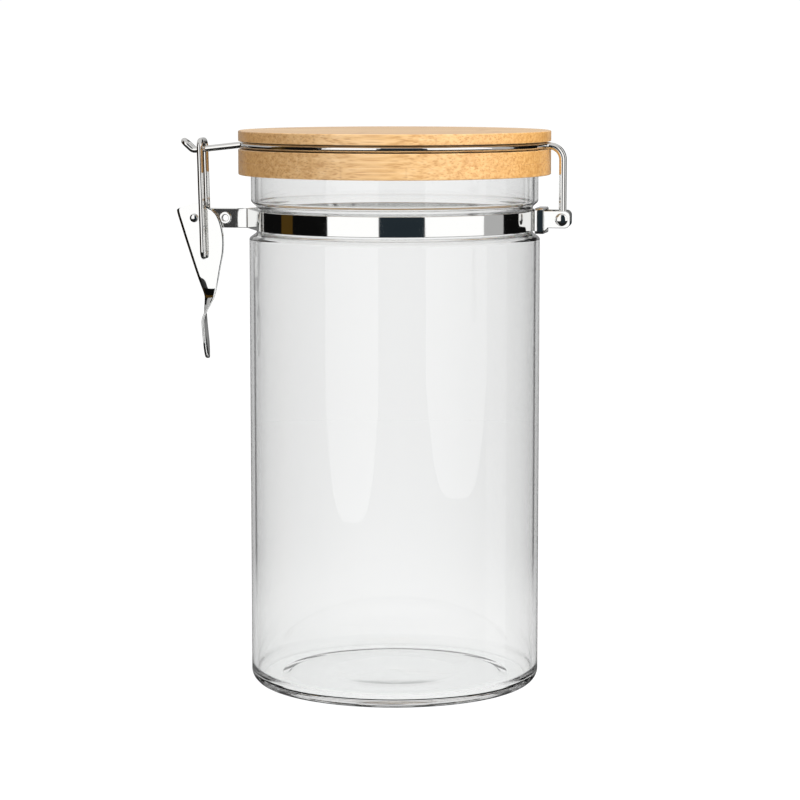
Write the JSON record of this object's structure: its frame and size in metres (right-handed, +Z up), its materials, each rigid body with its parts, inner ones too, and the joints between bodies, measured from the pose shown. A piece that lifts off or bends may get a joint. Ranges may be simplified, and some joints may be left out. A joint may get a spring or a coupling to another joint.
{
  "type": "food canister",
  "caption": "Tall round glass jar with a flat wooden lid, held shut by a wire bail, a steel neck band and a toggle clamp.",
  "frame": {"origin": "centre of the jar's flat base", "axes": "+Z up along the jar's axis, +X towards the lid's hinge, -X towards the clamp, -Y the front"},
  "size_m": [0.1368, 0.1074, 0.1916],
  "materials": {
    "glass": "clear borosilicate",
    "steel": "mirror polished stainless strip",
    "wire": "polished stainless wire",
    "bamboo": "satin, lightly oiled",
    "silicone": "translucent white silicone"
  },
  "bodies": {
    "jar": {"glass_jar": "glass", "front_half_band": "steel", "rear_half_band": "steel", "hinge_collar": "steel", "ear_tie_rivet": "steel", "lever_rivet": "steel"},
    "bail": {"lid_bail": "wire"},
    "lid": {"lid_top_disc": "bamboo", "lid_groove_disc": "bamboo", "lid_upper_ply": "bamboo", "lid_skirt_ring": "bamboo", "lid_centre_plug": "bamboo", "lid_gasket": "silicone"},
    "lever": {"clamp_lever": "steel"},
    "link": {"clamp_link": "wire"}
  },
  "joints": [
    {"name": "lid_hinge", "type": "hinge", "parent": "jar", "child": "bail", "pos_m": [0.0579, 0, 0.1616], "axis": [0, 1, 0], "range_deg": [0, 185]},
    {"name": "lid_turn", "type": "hinge", "parent": "bail", "child": "lid", "pos_m": [0, 0, 0.18665], "axis": [0, 0, 1], "continuous": true},
    {"name": "lever_hinge", "type": "hinge", "parent": "jar", "child": "lever", "pos_m": [-0.0699, 0, 0.1611], "axis": [0, 1, 0], "range_deg": [0, 115]},
    {"name": "link_hinge", "type": "hinge", "parent": "lever", "child": "link", "pos_m": [-0.0663, 0, 0.148], "axis": [0, 1, 0], "range_deg": [-95, 5]}
  ],
  "couplings": [
    {"joint": "link_hinge", "follows": "lever_hinge", "ratio": -0.78}
  ]
}
